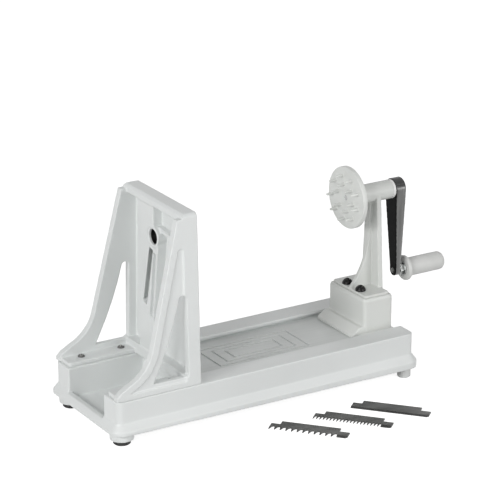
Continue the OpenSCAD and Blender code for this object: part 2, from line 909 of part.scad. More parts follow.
module front_bush() {
  color("white") difference() {
    bar_x_at_core(tube_left, tube_left + bush_len, bush_d);
    bar_x_at_core(tube_left - 1, tube_right, shaft_d + 2 * run_gap);
  }
}

module rear_bush() {
  color("white") difference() {
    union() {
      bar_x_at_core(tube_right - bush_len, tube_right, bush_d);
      bar_x_at_core(tube_right - eps, tube_right + bush_flange_t, bush_flange_d);
    }
    bar_x_at_core(tube_left, hub_right, shaft_d + 2 * run_gap);
  }
}

// A square tenon along X, centred on the shaft line
module tenon_x(x0, x1, gap) {
  side = tenon + 2 * gap;
  block([x0, -side / 2, shaft_z - side / 2], [x1, side / 2, shaft_z + side / 2]);
}

module drive_shaft() {
  color("silver") difference() {
    union() {
      bar_x_at_core(thrust_left, hub_left, shaft_d);
      tenon_x(disc_back - tenon_len, shaft_right, 0);
    }
    bar_x_at_core(disc_front - 1, disc_front + disc_screw_len + 1, small_screw_d + 2 * seat_gap);
    bar_x_at_core(hub_right - crank_screw_len - 1, hub_right, small_screw_d + 2 * seat_gap);
  }
}

module thrust_washer() {
  color([0.2, 0.2, 0.2]) difference() {
    bar_x_at_core(thrust_left, thrust_left + thrust_t, tube_d + 2 * thrust_rim);
    bar_x_at_core(thrust_left - 1, tube_left, shaft_d + 2 * seat_gap);
  }
}

// Disc on a boss, with two rings of tapered prongs that bite into the vegetable
module prong_disc() {
  color("ivory") difference() {
    union() {
      bar_x_at_core(disc_front + disc_bevel, disc_back, disc_d);
      bar_x_at_core(disc_back - eps, thrust_left, boss_d);
      translate([disc_front, 0, shaft_z]) rotate([0, 90, 0]) {
        cylinder(d1 = disc_d - 2 * disc_bevel, d2 = disc_d, h = disc_bevel + eps);
      }
      prong_ring(outer_prongs, disc_d / 2 - outer_inset, outer_turn);
      prong_ring(inner_prongs, disc_d / 2 - inner_inset, inner_turn);
    }
    tenon_x(disc_back - tenon_len, thrust_left + 1, seat_gap / 2);
    translate([disc_front, 0, shaft_z]) {
      flat_screw_x(small_screw_d + 2 * seat_gap, small_screw_head + 2 * seat_gap, disc_t);
    }
  }
}

module prong_ring(count, ring_r, turn) {
  translate([disc_front + eps, 0, shaft_z]) for (i = [0 : count - 1]) {
    rotate([turn + i * 360 / count, 0, 0]) translate([0, ring_r, 0]) rotate([0, -90, 0]) {
      cylinder(d1 = prong_d, d2 = prong_tip_d, h = prong_len, $fn = 24);
    }
  }
}

module disc_screw() {
  color("silver") translate([disc_front, 0, shaft_z]) {
    flat_screw_x(small_screw_d, small_screw_head, disc_screw_len);
  }
}

// Arm that tapers in width and in thickness from its hub to its eye
module crank_arm() {
  tilt = asin((hub_r - eye_r) / crank_r);
  out = [cos(tilt), sin(tilt)];
  in = [-cos(tilt), sin(tilt)];
  hub = [0, shaft_z];
  eye = [0, eye_z];
  color([0.3, 0.3, 0.3]) difference() {
    intersection() {
      slab_x(hub_left, hub_right) {
        translate(hub) circle(hub_r);
        translate(eye) circle(eye_r);
        polygon([hub + hub_r * in, eye + eye_r * in, eye + eye_r * out, hub + hub_r * out]);
      }
      translate([0, hub_r + 1, 0]) rotate([90, 0, 0]) linear_extrude(2 * hub_r + 2) polygon([
        [eye_left, eye_z - eye_r - 1], [eye_right, eye_z - eye_r - 1], [eye_right, eye_z + eye_r],
        [hub_right, shaft_z - hub_r], [hub_right, shaft_z + hub_r + 1], [hub_left, shaft_z + hub_r + 1],
        [hub_left, shaft_z - hub_r], [eye_left, eye_z + eye_r]
      ]);
    }
    tenon_x(hub_left - 1, shaft_right + seat_gap, seat_gap / 2);
    bar_x_at_core(hub_left, hub_right + 1, small_screw_d + 2 * seat_gap);
    translate([hub_right, 0, shaft_z]) mirror([1, 0, 0]) {
      flat_screw_x(small_screw_d, small_screw_head + 2 * seat_gap, small_screw_d);
    }
    bar_x_at_eye(hub_left, hub_right, thread_d + 2 * seat_gap);
  }
}

module bar_x_at_eye(x0, x1, d) {
  translate([0, 0, eye_z]) bar_x(x0, x1, d);
}

module crank_screw() {
  color("dimgray") translate([hub_right, 0, shaft_z]) mirror([1, 0, 0]) {
    flat_screw_x(small_screw_d, small_screw_head, crank_screw_len);
  }
}

// Shoulder bolt that the grip turns on, with its thread through the arm
module handle_bolt() {
  color("silver") {
    bar_x_at_eye(eye_left - bolt_out, nut_right + washer_t, thread_d);
    bar_x_at_eye(nut_right + washer_t, bolt_recess + slide_gap, bolt_d);
    bar_x_at_eye(bolt_recess + slide_gap, bolt_recess + slide_gap + bolt_head_t, bolt_head_d);
  }
}

module lock_nut() {
  color("silver") difference() {
    translate([eye_right, 0, eye_z]) rotate([0, 90, 0]) {
      cylinder(d = nut_af / cos(30), h = nut_t, $fn = 6);
    }
    bar_x_at_eye(eye_right - 1, nut_right + 1, thread_d + 2 * seat_gap);
  }
}

module handle_washer() {
  color("silver") difference() {
    bar_x_at_eye(nut_right, nut_right + washer_t, washer_d);
    bar_x_at_eye(nut_right - 1, nut_right + washer_t + 1, thread_d + 2 * seat_gap);
  }
}

// Grip: rounded flange and barrel, bored for the bolt and its head
module grip() {
  round = grip_flange_t / 2;
  color("whitesmoke") translate([grip_left, 0, eye_z]) rotate([0, 90, 0]) difference() {
    union() {
      translate([0, 0, round]) rotate_extrude() {
        translate([grip_flange_d / 2 - round, 0]) circle(round, $fn = 32);
        translate([0, -round]) square([grip_flange_d / 2 - round, 2 * round]);
      }
      cylinder(d = grip_d, h = cap_left - grip_left);
      translate([0, 0, grip_flange_t - eps]) {
        cylinder(d1 = grip_d + 2 * grip_neck, d2 = grip_d, h = grip_neck);
      }
    }
    translate([0, 0, -1]) cylinder(d = bolt_d + 2 * run_gap, h = grip_len);
    translate([0, 0, bolt_recess - grip_left]) cylinder(d = cap_plug_d, h = grip_len);
  }
}

module grip_cap() {
  round = cap_len;
  color("whitesmoke") translate([cap_left, 0, eye_z]) rotate([0, 90, 0]) {
    rotate_extrude() {
      square([grip_d / 2 - round, cap_len]);
      intersection() {
        translate([grip_d / 2 - round, 0]) circle(round);
        square([grip_d / 2, cap_len]);
      }
    }
    translate([0, 0, -cap_plug_len]) cylinder(d = cap_plug_d - 2 * seat_gap, h = cap_plug_len + eps);
  }
}

in_frame() base();
in_frame() rubber_pads();
in_frame() foot_studs();
in_frame() slicing_head();
in_frame() head_screws();
in_frame() core_cutter();
in_frame() clamp_screws();
in_frame() carriage();
in_frame() crank_post();
in_frame() post_screws();
in_frame() front_bush();
in_frame() rear_bush();
in_frame() drive_shaft();
in_frame() thrust_washer();
in_frame() prong_disc();
in_frame() disc_screw();
in_frame() crank_arm();
in_frame() crank_screw();
in_frame() handle_bolt();
in_frame() lock_nut();
in_frame() handle_washer();
in_frame() grip();
in_frame() grip_cap();
in_frame() straight_blade();
in_frame() fine_comb_blade();
in_frame() coarse_comb_blade();
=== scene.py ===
import bpy
import json
import math
import numpy as np
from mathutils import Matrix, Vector


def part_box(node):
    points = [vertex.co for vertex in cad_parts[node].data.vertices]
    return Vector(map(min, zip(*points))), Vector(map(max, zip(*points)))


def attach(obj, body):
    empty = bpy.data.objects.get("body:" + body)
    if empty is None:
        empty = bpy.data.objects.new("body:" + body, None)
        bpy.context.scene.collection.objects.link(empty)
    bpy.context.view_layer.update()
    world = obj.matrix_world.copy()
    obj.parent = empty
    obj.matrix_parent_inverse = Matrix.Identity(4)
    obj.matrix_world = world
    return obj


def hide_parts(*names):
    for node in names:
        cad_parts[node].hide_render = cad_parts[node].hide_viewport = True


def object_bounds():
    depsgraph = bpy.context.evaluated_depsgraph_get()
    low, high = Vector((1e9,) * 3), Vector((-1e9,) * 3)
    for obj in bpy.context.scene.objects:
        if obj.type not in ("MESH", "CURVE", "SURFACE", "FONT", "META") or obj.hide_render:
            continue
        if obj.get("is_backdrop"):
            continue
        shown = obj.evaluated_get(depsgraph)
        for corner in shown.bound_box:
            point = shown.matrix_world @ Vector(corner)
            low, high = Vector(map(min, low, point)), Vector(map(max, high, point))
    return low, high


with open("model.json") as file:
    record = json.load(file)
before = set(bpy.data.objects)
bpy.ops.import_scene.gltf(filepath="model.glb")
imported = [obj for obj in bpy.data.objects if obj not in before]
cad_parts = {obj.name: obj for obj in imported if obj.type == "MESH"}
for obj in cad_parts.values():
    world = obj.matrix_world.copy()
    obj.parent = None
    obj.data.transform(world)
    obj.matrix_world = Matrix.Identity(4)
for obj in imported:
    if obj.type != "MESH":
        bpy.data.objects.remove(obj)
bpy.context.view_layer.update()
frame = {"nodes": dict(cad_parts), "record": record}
nodes = frame["nodes"]
bodies = frame["record"]["behaviour"]["bodies"]
bodyOf = {name: body for body, names in bodies.items() for name in names}
mm = 0.001
print("frame loaded,", len(nodes), "CAD nodes")


# working on one object at a time

def workOn(piece):
    if bpy.context.object and bpy.context.object.mode != "OBJECT":
        bpy.ops.object.mode_set(mode="OBJECT")
    bpy.ops.object.select_all(action="DESELECT")
    piece.select_set(True)
    bpy.context.view_layer.objects.active = piece


def editAll(piece):
    workOn(piece)
    bpy.ops.object.mode_set(mode="EDIT")
    bpy.ops.mesh.select_all(action="SELECT")


def applyAll(piece):
    workOn(piece)
    for modifier in list(piece.modifiers):
        bpy.ops.object.modifier_apply(modifier=modifier.name)


def rename(piece, name):
    piece.name = name
    piece.data.name = name


def joinUp(parts, name):
    workOn(parts[0])
    for part in parts:
        part.select_set(True)
    bpy.ops.object.join()
    joined = bpy.context.object
    rename(joined, name)
    return joined


def copyOf(piece, name):
    twin = piece.copy()
    twin.data = piece.data.copy()
    rename(twin, name)
    bpy.context.scene.collection.objects.link(twin)
    return twin


def place(piece, spot, turn=(0, 0, 0)):
    piece.location = spot
    piece.rotation_euler = turn
    workOn(piece)
    bpy.ops.object.transform_apply(location=True, rotation=True, scale=True)


def blockAt(size, spot, turn):  # size and spot in mm, turned about X by so many degrees
    bpy.ops.object.select_all(action="DESELECT")
    bpy.ops.mesh.primitive_cube_add(size=1)
    block = bpy.context.object
    block.scale = [v * mm for v in size]
    place(block, [v * mm for v in spot], (math.radians(turn), 0, 0))
    return block


def carve(piece, tool, how="DIFFERENCE"):
    cut = piece.modifiers.new("carve", "BOOLEAN")
    cut.operation = how
    cut.solver = "EXACT"
    cut.object = tool
    applyAll(piece)
    bpy.data.objects.remove(tool)


def smoothOff(piece, degrees=30):
    workOn(piece)
    bpy.ops.object.shade_smooth_by_angle(angle=math.radians(degrees))


def standFor(piece, finish, slot, *nodeNames):
    if not piece.data.materials or piece.data.materials[0] is not finish:
        piece.data.materials.clear()
        piece.data.materials.append(finish)
    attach(piece, bodyOf[nodeNames[0]])
    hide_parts(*nodeNames)
    print("piece", piece.name, len(piece.data.polygons), "faces")


def faceFacts(piece):
    count = len(piece.data.polygons)
    middles = np.empty(3 * count)
    normals = np.empty(3 * count)
    piece.data.polygons.foreach_get("center", middles)
    piece.data.polygons.foreach_get("normal", normals)
    return middles.reshape(-1, 3), normals.reshape(-1, 3)


def dress(piece, finishes, chosen):
    piece.data.materials.clear()
    for finish in finishes:
        piece.data.materials.append(finish)
    piece.data.polygons.foreach_set("material_index", chosen.astype(int))
    piece.data.update()


# mouldings: a welded copy of the CAD solid with its edges rounded as the mould leaves them

rounding = {"weld": 0.02 * mm, "softness": 0.5, "quickCoarse": 2}


def weldedCopy(nodeName, name):
    piece = copyOf(nodes[nodeName], name)
    piece.parent = None
    for key in list(piece.keys()):
        del piece[key]
    piece.data.materials.clear()
    workOn(piece)
    bpy.ops.mesh.customdata_custom_splitnormals_clear()
    editAll(piece)
    bpy.ops.mesh.remove_doubles(threshold=rounding["weld"])
    bpy.ops.object.mode_set(mode="OBJECT")
    return piece


def roundEdges(piece, look):
    coarse = 1
    voxel = piece.modifiers.new("voxels", "REMESH")
    voxel.mode = "VOXEL"
    voxel.voxel_size = look["voxel"] * coarse
    soft = piece.modifiers.new("soft", "SMOOTH")
    soft.factor = rounding["softness"]
    soft.iterations = look["passes"] // coarse
    applyAll(piece)
    wanted = look["faces"] / (2 * len(piece.data.polygons))  # each voxel face is two triangles
    if wanted < 1:
        thin = piece.modifiers.new("thin", "DECIMATE")
        thin.ratio = wanted
        applyAll(piece)
    workOn(piece)
    bpy.ops.object.shade_smooth()


def moulding(look):
    piece = weldedCopy(look["node"], look["name"])
    roundEdges(piece, look)
    return piece


# turned pieces: a profile of (along, radius) in mm, spun round X at the origin

turning = {"start": 1 * mm, "merge": 0.002 * mm, "sliver": 0.001 * mm}


def turned(name, profile, sides):
    bpy.ops.object.select_all(action="DESELECT")
    bpy.ops.mesh.primitive_plane_add(size=turning["start"])
    piece = bpy.context.object
    rename(piece, name)
    editAll(piece)
    bpy.ops.mesh.merge(type="CENTER")
    bpy.ops.transform.translate(value=(profile[0][0] * mm, 0, profile[0][1] * mm))
    for (fromX, fromR), (toX, toR) in zip(profile, profile[1:]):
        step = ((toX - fromX) * mm, 0, (toR - fromR) * mm)
        bpy.ops.mesh.extrude_vertices_move(TRANSFORM_OT_translate={"value": step})
    bpy.ops.mesh.select_all(action="SELECT")
    bpy.ops.mesh.spin(steps=sides, angle=2 * math.pi, center=(0, 0, 0), axis=(1, 0, 0))
    bpy.ops.mesh.select_all(action="SELECT")
    bpy.ops.mesh.remove_doubles(threshold=turning["merge"])
    bpy.ops.mesh.dissolve_degenerate(threshold=turning["sliver"])
    bpy.ops.mesh.select_all(action="SELECT")
    bpy.ops.mesh.normals_make_consistent(inside=False)
    bpy.ops.object.mode_set(mode="OBJECT")
    return piece


def bend(x, r, radius, fromDeg, toDeg, count):
    turns = [math.radians(fromDeg + (toDeg - fromDeg) * i / (count - 1)) for i in range(count)]
    return [(x + radius * math.cos(t), r + radius * math.sin(t)) for t in turns]


def leftEnd(nodeName):
    low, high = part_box(nodeName)
    return Vector((low.x, (low.y + high.y) / 2, (low.z + high.z) / 2))


# finishes: a broad grain for the tone, a fine one for gloss and relief

grainSpan = (0.3, 0.7)  # where most of the noise lies
grainDetail = {"broad": 2, "fine": 4}


def newFinish(name, look):
    finish = bpy.data.materials.new(name)
    finish.use_nodes = True
    tree = finish.node_tree
    shader = tree.nodes["Principled BSDF"]
    shader.inputs["Metallic"].default_value = look.get("metal", 0)
    shader.inputs["Specular IOR Level"].default_value = look.get("gloss", 0.5)
    if "coat" in look:
        shader.inputs["Coat Weight"].default_value = look["coat"]
        shader.inputs["Coat Roughness"].default_value = look["coatRough"]
    spot = tree.nodes.new("ShaderNodeTexCoord").outputs["Object"]
    return finish, tree, shader, spot


def stretch(tree, spot, turn, scale):
    node = tree.nodes.new("ShaderNodeMapping")
    node.inputs["Rotation"].default_value = turn
    node.inputs["Scale"].default_value = scale
    tree.links.new(spot, node.inputs["Vector"])
    return node.outputs["Vector"]


def grain(tree, spot, scale, detail):
    node = tree.nodes.new("ShaderNodeTexNoise")
    node.inputs["Scale"].default_value = scale
    node.inputs["Detail"].default_value = detail
    tree.links.new(spot, node.inputs["Vector"])
    return node.outputs["Fac"]


def tint(tree, amount, tones):
    node = tree.nodes.new("ShaderNodeValToRGB")
    for element, position, tone in zip(node.color_ramp.elements, grainSpan, tones):
        element.position = position
        element.color = (*tone, 1)
    tree.links.new(amount, node.inputs["Fac"])
    return node.outputs["Color"]


def between(tree, amount, low, high):
    node = tree.nodes.new("ShaderNodeMapRange")
    node.inputs["From Min"].default_value = grainSpan[0]
    node.inputs["From Max"].default_value = grainSpan[1]
    node.inputs["To Min"].default_value = low
    node.inputs["To Max"].default_value = high
    tree.links.new(amount, node.inputs["Value"])
    return node.outputs["Result"]


def relief(tree, shader, height, depth, strength):
    node = tree.nodes.new("ShaderNodeBump")
    node.inputs["Distance"].default_value = depth
    node.inputs["Strength"].default_value = strength
    tree.links.new(height, node.inputs["Height"])
    tree.links.new(node.outputs["Normal"], shader.inputs["Normal"])


def mottled(name, look):
    finish, tree, shader, spot = newFinish(name, look)
    if "stretch" in look:
        spot = stretch(tree, spot, look.get("turn", (0, 0, 0)), look["stretch"])
    broad = grain(tree, spot, look["broad"], grainDetail["broad"])
    fine = grain(tree, spot, look["fine"], grainDetail["fine"])
    tree.links.new(tint(tree, broad, look["tones"]), shader.inputs["Base Color"])
    tree.links.new(between(tree, fine, *look["rough"]), shader.inputs["Roughness"])
    relief(tree, shader, fine, look["depth"], look["strength"])
    return finish


bladeTurn = math.radians(48.5)  # how far the loose blades lie turned from the bench

whitePlastic = mottled("white_plastic", {
    "tones": ((0.735, 0.755, 0.748), (0.765, 0.785, 0.778)), "broad": 14, "fine": 700,
    "rough": (0.32, 0.44), "depth": 0.05 * mm, "strength": 0.3, "coat": 0.12, "coatRough": 0.3})
slideShadedPlastic = mottled("slide_plastic_painted_shade", {  # the bed, rubbed lengthwise by the sled, its tone darkened as painted shade
    "tones": ((0.665, 0.685, 0.675), (0.715, 0.735, 0.725)), "broad": 160, "fine": 900,
    "rough": (0.3, 0.5), "depth": 0.04 * mm, "strength": 0.3, "stretch": (0.06, 1, 1)})
greyPlastic = mottled("grey_plastic", {
    "tones": ((0.70, 0.715, 0.69), (0.735, 0.75, 0.725)), "broad": 18, "fine": 700,
    "rough": (0.32, 0.44), "depth": 0.05 * mm, "strength": 0.3, "coat": 0.2, "coatRough": 0.25})
studPlastic = mottled("stud_plastic", {
    "tones": ((0.60, 0.61, 0.60), (0.66, 0.67, 0.66)), "broad": 60, "fine": 900,
    "rough": (0.45, 0.6), "depth": 0.04 * mm, "strength": 0.3})
discPlastic = mottled("disc_plastic", {
    "tones": ((0.725, 0.74, 0.715), (0.765, 0.78, 0.755)), "broad": 40, "fine": 800,
    "rough": (0.28, 0.4), "depth": 0.03 * mm, "strength": 0.25})
gripPlastic = mottled("grip_plastic", {
    "tones": ((0.66, 0.665, 0.65), (0.70, 0.705, 0.69)), "broad": 50, "fine": 900,
    "rough": (0.38, 0.52), "depth": 0.04 * mm, "strength": 0.3})
bushNylon = mottled("bush_nylon", {
    "tones": ((0.89, 0.89, 0.88), (0.93, 0.93, 0.92)), "broad": 80, "fine": 900,
    "rough": (0.4, 0.5), "depth": 0.03 * mm, "strength": 0.2})
blackRubber = mottled("black_rubber", {
    "tones": ((0.012, 0.012, 0.012), (0.025, 0.025, 0.024)), "broad": 120, "fine": 1200,
    "rough": (0.65, 0.85), "depth": 0.08 * mm, "strength": 0.5})
paintedDarkFaces = mottled("painted_dark_faces", {  # the arm's broad faces, near black: painted shade and painted dark reflection
    "gloss": 0.04, "tones": ((0.003, 0.003, 0.003), (0.007, 0.007, 0.007)), "broad": 90, "fine": 900,
    "rough": (0.35, 0.5), "depth": 0.05 * mm, "strength": 0.3})
paintedDarkCrown = mottled("painted_dark_crown", {  # the arm's upward faces, dark and glossy: a painted dark reflection
    "gloss": 0.35, "tones": ((0.03, 0.03, 0.03), (0.05, 0.05, 0.05)), "broad": 90, "fine": 900,
    "rough": (0.08, 0.16), "depth": 0.02 * mm, "strength": 0.2})
darkCasting = mottled("dark_casting", {  # the arm's ground sides, drawn out along its length
    "metal": 1, "tones": ((0.11, 0.11, 0.109), (0.19, 0.19, 0.188)), "broad": 160, "fine": 900,
    "rough": (0.2, 0.32), "depth": 0.03 * mm, "strength": 0.3, "stretch": (1, 1, 0.08)})
brightSteel = mottled("bright_steel", {
    "metal": 1, "tones": ((0.32, 0.33, 0.325), (0.46, 0.47, 0.465)), "broad": 120, "fine": 1500,
    "rough": (0.14, 0.28), "depth": 0.02 * mm, "strength": 0.3})
screwSteel = mottled("screw_steel", {
    "metal": 1, "tones": ((0.12, 0.12, 0.12), (0.2, 0.2, 0.195)), "broad": 150, "fine": 1500,
    "rough": (0.2, 0.32), "depth": 0.03 * mm, "strength": 0.3})
cutterSteel = mottled("cutter_steel", {
    "metal": 1, "tones": ((0.05, 0.05, 0.05), (0.09, 0.09, 0.09)), "broad": 100, "fine": 1500,
    "rough": (0.3, 0.45), "depth": 0.02 * mm, "strength": 0.3})
blackScrews = mottled("black_screws", {
    "gloss": 0.2, "tones": ((0.004, 0.004, 0.004), (0.01, 0.01, 0.01)), "broad": 150, "fine": 1500,
    "rough": (0.06, 0.1), "depth": 0.01 * mm, "strength": 0.1})
paintedGlintSteel = mottled("painted_glint_steel", {  # bright steel in the screws' recesses: a painted highlight standing for glints
    "metal": 1, "tones": ((0.7, 0.7, 0.69), (0.85, 0.85, 0.84)), "broad": 200, "fine": 1500,
    "rough": (0.2, 0.3), "depth": 0.01 * mm, "strength": 0.2})
washerBlack = mottled("washer_black", {
    "tones": ((0.02, 0.02, 0.02), (0.035, 0.035, 0.035)), "broad": 120, "fine": 1200,
    "rough": (0.45, 0.6), "depth": 0.03 * mm, "strength": 0.3})
bladeSteel = mottled("blade_steel", {
    "metal": 1, "tones": ((0.10, 0.10, 0.098), (0.16, 0.16, 0.156)), "broad": 90, "fine": 900,
    "rough": (0.3, 0.48), "depth": 0.015 * mm, "strength": 0.35,
    "turn": (0, 0, bladeTurn), "stretch": (0.08, 1, 1)})
groundSteel = mottled("ground_steel", {  # the bevel along the blades' cutting edges
    "metal": 1, "tones": ((0.05, 0.05, 0.049), (0.09, 0.09, 0.088)), "broad": 300, "fine": 1500,
    "rough": (0.2, 0.34), "depth": 0.01 * mm, "strength": 0.3,
    "turn": (0, 0, bladeTurn), "stretch": (1, 0.1, 1)})
print("finishes ready")

# the mouldings, and the cast arm

trayBase = {"node": "base", "name": "trayBase", "voxel": 0.75 * mm, "passes": 5, "faces": 170000,
            "bedHalf": 45.5 * mm, "bedLevel": (46.5 * mm, 48.6 * mm), "upward": 0.5, "crease": 50}
bedFrames = {"middle": (-20.3, 51.89, 48.6), "halves": ((34, 12), (48, 20), (62, 28)),
             "line": 2.2, "depth": 1.9}  # measured from 0.6 over the bed
piece = moulding(trayBase)
cutters = []
for long, wide in bedFrames["halves"]:  # the sunk frames, cut again with crisp edges
    bpy.ops.object.select_all(action="DESELECT")
    bpy.ops.mesh.primitive_plane_add(size=2)
    cutter = bpy.context.object
    cutter.scale = (long * mm, wide * mm, 1)
    place(cutter, [v * mm for v in bedFrames["middle"]])
    editAll(cutter)
    bpy.ops.mesh.inset(thickness=bedFrames["line"] * mm)
    bpy.ops.mesh.delete(type="FACE")
    bpy.ops.object.mode_set(mode="OBJECT")
    deep = cutter.modifiers.new("deep", "SOLIDIFY")
    deep.thickness = bedFrames["depth"] * mm
    applyAll(cutter)
    cutters.append(cutter)
carve(piece, joinUp(cutters, "bedCutter"))
smoothOff(piece, trayBase["crease"])
middles, normals = faceFacts(piece)
low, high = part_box("base")
fromMiddle = abs(middles[:, 1] - (low.y + high.y) / 2)
# the bed's upward faces get a darker finish: painted shade, with a lengthwise rubbing grain
onBed = (normals[:, 2] > trayBase["upward"]) & (fromMiddle < trayBase["bedHalf"])
onBed &= (middles[:, 2] > trayBase["bedLevel"][0]) & (middles[:, 2] < trayBase["bedLevel"][1])
dress(piece, (whitePlastic, slideShadedPlastic), onBed)
standFor(piece, whitePlastic, "white_plastic", "base")

slicingHead = {"node": "slicing_head", "name": "slicingHead", "voxel": 0.7 * mm, "passes": 5,
               "faces": 150000}
padGroove = {"middle": (-150.8, 52.77, 151.9), "size": (6, 2.75, 80), "lean": 7.5}
piece = weldedCopy(slicingHead["node"], slicingHead["name"])  # its groove is widened, then all is rounded
carve(piece, blockAt(padGroove["size"], padGroove["middle"], padGroove["lean"]))
roundEdges(piece, slicingHead)
standFor(piece, whitePlastic, "white_plastic", "slicing_head")

crankSled = {"node": "carriage", "name": "crankSled", "voxel": 0.6 * mm, "passes": 4, "faces": 70000}
standFor(moulding(crankSled), greyPlastic, "grey_plastic", "carriage")

crankPost = {"node": "crank_post", "name": "crankPost", "voxel": 0.5 * mm, "passes": 4, "faces": 60000}
standFor(moulding(crankPost), greyPlastic, "grey_plastic", "crank_post")

crankArm = {"node": "crank_arm", "name": "crankArm", "voxel": 0.45 * mm, "passes": 18, "faces": 50000,
            "broadFace": 0.45, "crown": 0.3}
piece = moulding(crankArm)
middles, normals = faceFacts(piece)
# faces turned sideways get the near-black finish: painted shade and painted dark reflection, picked by
# the faces' direction
chosen = np.where(abs(normals[:, 0]) > crankArm["broadFace"], 1, 0)
# upward faces get the dark gloss: a painted dark reflection
chosen[normals[:, 2] > crankArm["crown"]] = 2
dress(piece, (darkCasting, paintedDarkFaces, paintedDarkCrown), chosen)
standFor(piece, darkCasting, "dark_casting", "crank_arm")
print("mouldings done")

# the grip and its cap, turned

grip = {"bore": 4.05, "flange": 15.5, "flangeThick": 6, "barrel": 11.25, "swell": 0.12,
        "swellSteps": 10, "neck": 2.2, "recess": 7.5, "recessDepth": 8, "length": 51.5,
        "seam": 0.35, "sides": 96}
half = grip["flangeThick"] / 2
profile = [(0, grip["bore"])] + bend(half, grip["flange"] - half, half, 180, 20, 13)
profile += bend(grip["flangeThick"] + grip["neck"], grip["barrel"] + grip["neck"], grip["neck"],
                190, 270, 7)
barrelStart = profile[-1][0]
barrelEnd = grip["length"] - grip["seam"]
for i in range(1, grip["swellSteps"]):
    share = i / grip["swellSteps"]
    profile.append((barrelStart + (barrelEnd - barrelStart) * share,
                    grip["barrel"] + grip["swell"] * math.sin(math.pi * share)))
recessFloor = grip["length"] - grip["recessDepth"]
profile += [(barrelEnd, grip["barrel"]), (grip["length"], grip["barrel"] - grip["seam"]),
            (grip["length"], grip["recess"]), (recessFloor, grip["recess"]),
            (recessFloor, grip["bore"]), (0, grip["bore"])]
piece = turned("gripBarrel", profile, grip["sides"])
place(piece, leftEnd("grip"))
smoothOff(piece)
standFor(piece, gripPlastic, "grip_plastic", "grip")

gripCap = {"round": 6, "plug": 7.4, "plugLength": 3, "gap": 0.02, "sides": 96}
capLeft = leftEnd("grip_cap") + Vector((gripCap["plugLength"] * mm, 0, 0))
profile = [(-gripCap["plugLength"], 0), (-gripCap["plugLength"], gripCap["plug"]),
           (gripCap["gap"], gripCap["plug"]), (gripCap["gap"], grip["barrel"] - grip["seam"]),
           (grip["seam"], grip["barrel"] - gripCap["gap"])]
profile += bend(0, grip["barrel"] - gripCap["round"], gripCap["round"], 84, 2, 12)
profile += [(gripCap["round"], 0)]
piece = turned("gripCap", profile, gripCap["sides"])
place(piece, capLeft)
smoothOff(piece)
standFor(piece, gripPlastic, "grip_plastic", "grip_cap")

# washers, nut and bolt

def flatWasher(name, look, finish):
    r = look["round"]
    profile = [(0, look["bore"])] + bend(r, look["rim"] - r, r, 180, 90, 4)
    profile += bend(look["thick"] - r, look["rim"] - r, r, 90, 0, 4)
    profile += [(look["thick"], look["bore"]), (0, look["bore"])]
    piece = turned(name, profile, look["sides"])
    place(piece, leftEnd(look["node"]))
    smoothOff(piece)
    standFor(piece, finish, look["slot"], look["node"])


handleWasher = {"node": "handle_washer", "slot": "bright_steel",
                "bore": 3.1, "rim": 9, "thick": 1.5, "round": 0.4, "sides": 72}
flatWasher("handleWasher", handleWasher, brightSteel)
thrustWasher = {"node": "thrust_washer", "slot": "washer_black",
                "bore": 5.1, "rim": 13, "thick": 1.2, "round": 0.3, "sides": 72}
flatWasher("thrustWasher", thrustWasher, washerBlack)

nut = {"bore": 3.1, "corner": 7.5, "thick": 5.5, "flat": 6.4, "chamfer": 0.7, "edge": 0.25,
       "spare": 0.01, "clear": 0.1, "sides": 60}
bpy.ops.object.select_all(action="DESELECT")
bpy.ops.mesh.primitive_cylinder_add(vertices=6, radius=nut["corner"] * mm, depth=nut["thick"] * mm)
piece = bpy.context.object
rename(piece, "lockNut")
place(piece, (nut["thick"] / 2 * mm, 0, 0), (0, math.pi / 2, 0))
editAll(piece)
bpy.ops.mesh.bevel(offset=nut["edge"] * mm, segments=2, affect="EDGES")
bpy.ops.object.mode_set(mode="OBJECT")
nutFront = -nut["spare"]
nutBack = nut["thick"] + nut["spare"]
outside = nut["corner"] + nut["clear"]
profile = [(nutFront, nut["bore"]), (nutFront, nut["flat"]), (nut["chamfer"], outside),
           (nut["thick"] - nut["chamfer"], outside), (nutBack, nut["flat"]),
           (nutBack, nut["bore"]), (nutFront, nut["bore"])]
carve(piece, turned("nutBlank", profile, nut["sides"]), "INTERSECT")
place(piece, leftEnd("lock_nut"))
smoothOff(piece)
standFor(piece, brightSteel, "bright_steel", "lock_nut")

bolt = {"tip": 2, "lead": 0.5, "thread": 3, "root": 2.6, "pitch": 1, "crest": (0.35, 0.6),
        "threadRun": 15.5, "shoulder": 4, "head": 6.5, "headThick": 4, "underEdge": 0.3,
        "topEdge": 0.5, "sides": 48}
low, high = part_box("handle_bolt")
length = (high.x - low.x) / mm
headStart = length - bolt["headThick"]
profile = [(0, 0), (0, bolt["tip"]), (bolt["lead"], bolt["root"])]
ridges = int((bolt["threadRun"] - 2 * bolt["lead"]) / bolt["pitch"])
for i in range(ridges):
    start = bolt["lead"] + i * bolt["pitch"]
    profile += [(start + share * bolt["pitch"], bolt["thread"]) for share in bolt["crest"]]
    profile.append((start + bolt["pitch"], bolt["root"]))
profile += [(bolt["threadRun"], bolt["root"]), (bolt["threadRun"], bolt["shoulder"]),
            (headStart, bolt["shoulder"]), (headStart, bolt["head"] - bolt["underEdge"]),
            (headStart + bolt["underEdge"], bolt["head"]), (length - bolt["topEdge"], bolt["head"]),
            (length, bolt["head"] - bolt["topEdge"]), (length, 0)]
piece = turned("handleBolt", profile, bolt["sides"])
place(piece, leftEnd("handle_bolt"))
smoothOff(piece)
standFor(piece, screwSteel, "bright_steel", "handle_bolt")
print("handle done")

# the pronged disc: one turned disc, one turned prong copied round two rings

